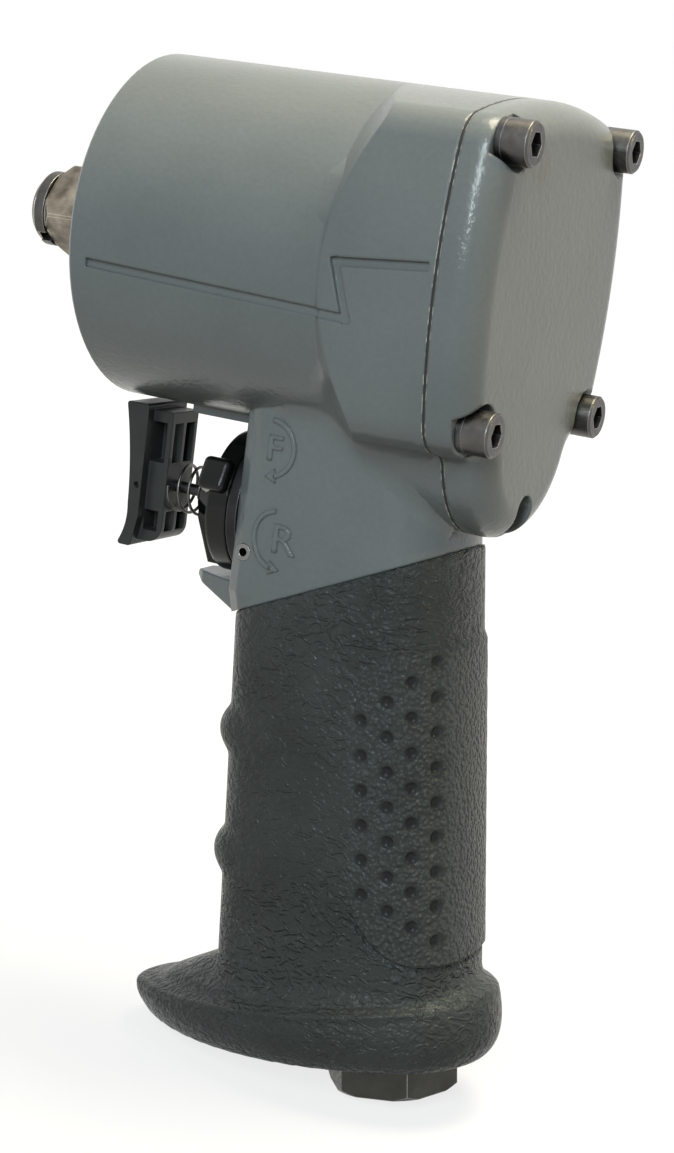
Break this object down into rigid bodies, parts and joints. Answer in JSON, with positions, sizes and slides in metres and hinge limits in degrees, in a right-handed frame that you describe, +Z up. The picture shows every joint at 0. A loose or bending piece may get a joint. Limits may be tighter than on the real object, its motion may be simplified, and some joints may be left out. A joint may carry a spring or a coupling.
{
  "type": "air impact wrench",
  "caption": "Short pistol-grip air impact wrench with a half inch square drive, round hammer case, push trigger, reverse dial, rubber grip and hexagon air inlet.",
  "frame": {"origin": "on the drive axis, at the shoulder of the square drive", "axes": "+X forward out of the square drive, +Y to the operator's left, +Z up"},
  "size_m": [0.115, 0.0646, 0.1855],
  "materials": {
    "grey_paint": "satin",
    "black_oxide": "satin",
    "hardened_steel": "satin",
    "bright_steel": "satin",
    "grip_rubber": "matte",
    "seal_rubber": "matte",
    "gasket_sheet": "matte",
    "trigger_plastic": "satin",
    "dial_plastic": "gloss",
    "vane_laminate": "matte",
    "bushing_bronze": "satin",
    "cast_iron": "matte",
    "bare_aluminium": "satin"
  },
  "bodies": {
    "housing": {"housing": "grey_paint", "rear_cover": "grey_paint", "cover_gasket": "gasket_sheet", "cover_screws": "black_oxide", "cover_lock_washers": "black_oxide", "anvil_bushing": "bushing_bronze", "nose_seal": "seal_rubber", "front_bearing_outer_race": "bright_steel", "rear_bearing_outer_race": "bright_steel", "motor_cylinder": "cast_iron", "front_end_plate": "bare_aluminium", "rear_end_plate": "bare_aluminium", "cylinder_dowel": "hardened_steel", "grip_sleeve": "grip_rubber", "exhaust_plate": "bare_aluminium", "exhaust_muffler": "bushing_bronze", "inlet_bushing": "black_oxide", "inlet_seal": "seal_rubber", "inlet_screen": "bright_steel", "throttle_seat": "bare_aluminium", "throttle_spring": "bright_steel", "valve_sleeve": "bare_aluminium", "sleeve_seals": "seal_rubber", "valve_pin": "black_oxide", "detent_ball": "bright_steel", "detent_spring": "bright_steel"},
    "rotor": {"rotor": "hardened_steel", "rotor_vanes": "vane_laminate", "front_bearing_inner_race": "bright_steel", "rear_bearing_inner_race": "bright_steel", "hammer_cage": "hardened_steel", "hammer_pins": "hardened_steel"},
    "bearing_balls": {"front_bearing_balls": "bright_steel", "rear_bearing_balls": "bright_steel"},
    "front_hammer": {"front_hammer": "hardened_steel"},
    "rear_hammer": {"rear_hammer": "hardened_steel"},
    "anvil": {"anvil": "hardened_steel", "friction_ring": "bright_steel", "ring_cushion": "seal_rubber"},
    "trigger": {"trigger": "trigger_plastic", "trigger_pin": "black_oxide", "trigger_stem": "bright_steel", "trigger_spring": "bright_steel"},
    "reverse": {"reverse_dial": "dial_plastic", "reverse_valve": "bare_aluminium"},
    "throttle": {"throttle_valve": "hardened_steel"}
  },
  "joints": [
    {"name": "trigger_slide", "type": "slide", "parent": "housing", "child": "trigger", "axis": [-1, 0, 0], "range_m": [0, 0.0045], "stiffness_N_per_m": 2000, "springref_m": -0.004, "deforming": ["trigger_spring"]},
    {"name": "reverse_turn", "type": "hinge", "parent": "housing", "child": "reverse", "pos_m": [-0.0415, 0, -0.0485], "axis": [1, 0, 0], "range_deg": [-42, 0]},
    {"name": "anvil_spin", "type": "hinge", "parent": "housing", "child": "anvil", "pos_m": [0, 0, 0], "axis": [1, 0, 0], "continuous": true},
    {"name": "rotor_spin", "type": "hinge", "parent": "housing", "child": "rotor", "pos_m": [-0.068, 0, 0], "axis": [1, 0, 0], "continuous": true},
    {"name": "bearing_roll", "type": "hinge", "parent": "housing", "child": "bearing_balls", "pos_m": [-0.068, 0, 0], "axis": [1, 0, 0], "continuous": true},
    {"name": "front_hammer_rock", "type": "hinge", "parent": "rotor", "child": "front_hammer", "pos_m": [-0.02745, 0, 0.019], "axis": [1, 0, 0], "range_deg": [-4, 4]},
    {"name": "rear_hammer_rock", "type": "hinge", "parent": "rotor", "child": "rear_hammer", "pos_m": [-0.03725, 0, -0.019], "axis": [1, 0, 0], "range_deg": [-4, 4]},
    {"name": "throttle_tilt", "type": "hinge", "parent": "housing", "child": "throttle", "pos_m": [-0.06937, 0, -0.0911], "axis": [0, -1, 0], "range_deg": [0, 6], "deforming": ["throttle_spring"]}
  ],
  "couplings": [
    {"joint": "bearing_roll", "follows": "rotor_spin", "ratio": 0.39},
    {"joint": "throttle_tilt", "follows": "trigger_slide", "rad_per_m": 20.5}
  ]
}
